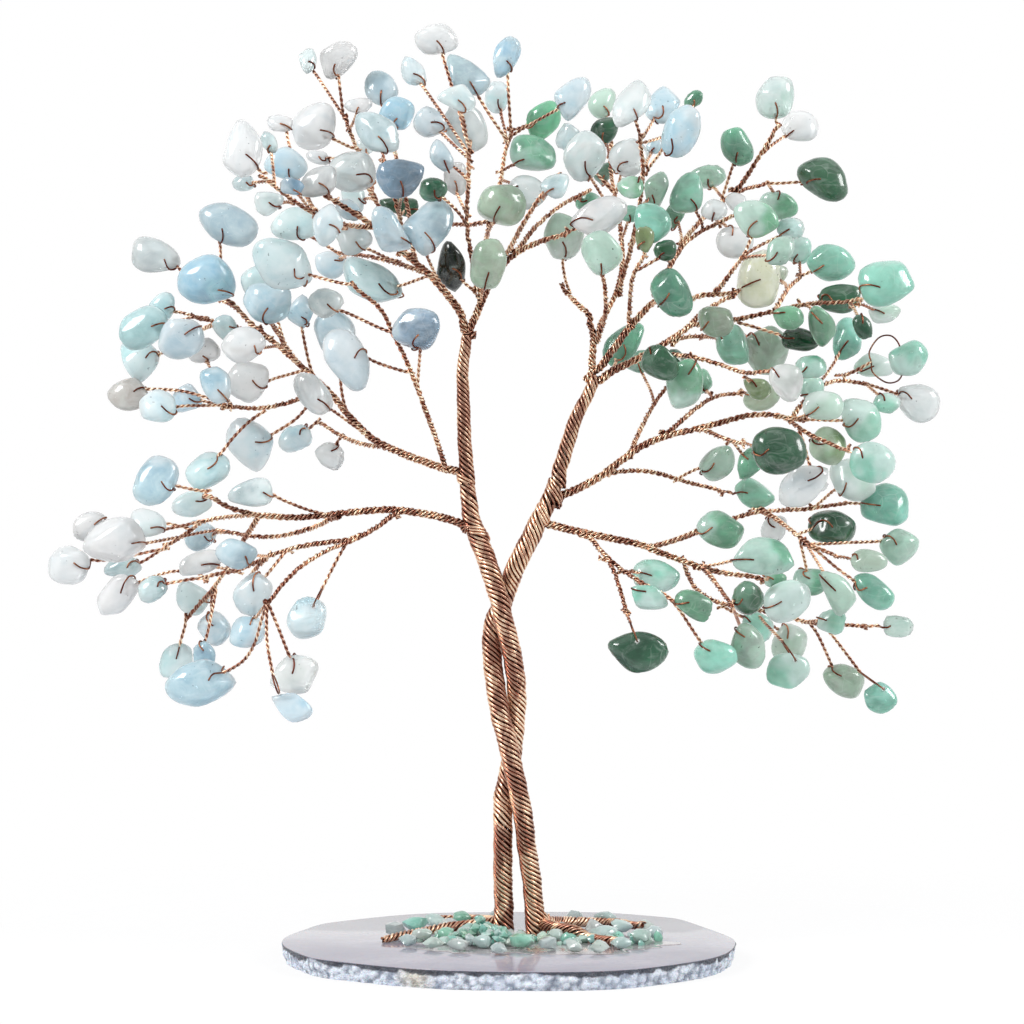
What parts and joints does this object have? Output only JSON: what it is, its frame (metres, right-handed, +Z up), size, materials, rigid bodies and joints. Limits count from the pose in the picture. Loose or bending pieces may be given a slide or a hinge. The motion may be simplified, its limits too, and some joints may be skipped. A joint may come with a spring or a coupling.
{
  "type": "gemstone tree ornament",
  "caption": "Small tree of twisted copper wire that carries tumbled blue, clear and green stone chips, rooted on a polished agate slice.",
  "frame": {"origin": "on the table, under the middle of the agate slice's flat underside", "axes": "+X to the right as seen from the front, +Y away from the viewer, +Z up along the trunk"},
  "size_m": [0.1578, 0.0793, 0.1632],
  "materials": {
    "agate": "polished top, rough rim",
    "glue": "set clear glue",
    "copper_wire": "twisted copper",
    "blue_stone": "tumbled, glossy",
    "clear_stone": "tumbled, glossy",
    "green_stone": "tumbled, glossy"
  },
  "bodies": {
    "tree": {"agate_slice": "agate", "back_left_root": "copper_wire", "back_right_root": "copper_wire", "base_clear_stones": "clear_stone", "base_green_stones": "green_stone", "crown_blue_stones": "blue_stone", "crown_branches": "copper_wire", "crown_clear_stones": "clear_stone", "crown_green_stones": "green_stone", "crown_twigs": "copper_wire", "front_left_root": "copper_wire", "front_right_root": "copper_wire", "glue_patch": "glue", "inner_right_blue_stones": "blue_stone", "inner_right_branches": "copper_wire", "inner_right_clear_stones": "clear_stone", "inner_right_green_stones": "green_stone", "inner_right_twigs": "copper_wire", "left_trunk_strand": "copper_wire", "left_upper_trunk": "copper_wire", "lower_left_blue_stones": "blue_stone", "lower_left_branches": "copper_wire", "lower_left_clear_stones": "clear_stone", "lower_left_twigs": "copper_wire", "lower_right_branches": "copper_wire", "lower_right_clear_stones": "clear_stone", "lower_right_green_stones": "green_stone", "lower_right_twigs": "copper_wire", "middle_left_blue_stones": "blue_stone", "middle_left_branches": "copper_wire", "middle_left_clear_stones": "clear_stone", "middle_left_twigs": "copper_wire", "middle_right_branches": "copper_wire", "middle_right_green_stones": "green_stone", "middle_right_twigs": "copper_wire", "outer_right_branches": "copper_wire", "outer_right_clear_stones": "clear_stone", "outer_right_green_stones": "green_stone", "outer_right_twigs": "copper_wire", "right_trunk_strand": "copper_wire", "right_upper_trunk": "copper_wire", "upper_left_blue_stones": "blue_stone", "upper_left_branches": "copper_wire", "upper_left_clear_stones": "clear_stone", "upper_left_twigs": "copper_wire", "upper_right_branches": "copper_wire", "upper_right_clear_stones": "clear_stone", "upper_right_green_stones": "green_stone", "upper_right_twigs": "copper_wire"},
    "long_swinging_stone": {"long_swinging_stone": "blue_stone"},
    "diamond_swinging_stone": {"diamond_swinging_stone": "blue_stone"},
    "ringed_swinging_stone": {"ringed_swinging_stone": "green_stone"},
    "forest_swinging_stone": {"forest_swinging_stone": "green_stone"},
    "mint_swinging_stone": {"mint_swinging_stone": "green_stone"},
    "tail_swinging_stone": {"tail_swinging_stone": "green_stone"}
  },
  "joints": [
    {"name": "long_swinging_stone_swing", "type": "hinge", "parent": "tree", "child": "long_swinging_stone", "pos_m": [-0.03852, -0.0246, 0.04779], "axis": [0, 1, 0], "range_deg": [-25, 25]},
    {"name": "diamond_swinging_stone_swing", "type": "hinge", "parent": "tree", "child": "diamond_swinging_stone", "pos_m": [-0.03334, -0.0132, 0.06203], "axis": [0, 1, 0], "range_deg": [-25, 25]},
    {"name": "ringed_swinging_stone_swing", "type": "hinge", "parent": "tree", "child": "ringed_swinging_stone", "pos_m": [0.06932, 0.006, 0.10551], "axis": [0.1644, 0, -0.9864], "range_deg": [-25, 25]},
    {"name": "forest_swinging_stone_swing", "type": "hinge", "parent": "tree", "child": "forest_swinging_stone", "pos_m": [0.02169, -0.018, 0.05624], "axis": [0, 1, 0], "range_deg": [-25, 25]},
    {"name": "mint_swinging_stone_swing", "type": "hinge", "parent": "tree", "child": "mint_swinging_stone", "pos_m": [0.04927, -0.00897, 0.05261], "axis": [0, 1, 0], "range_deg": [-25, 25]},
    {"name": "tail_swinging_stone_swing", "type": "hinge", "parent": "tree", "child": "tail_swinging_stone", "pos_m": [0.06614, 0.006, 0.0468], "axis": [0, 1, 0], "range_deg": [-25, 25]}
  ]
}
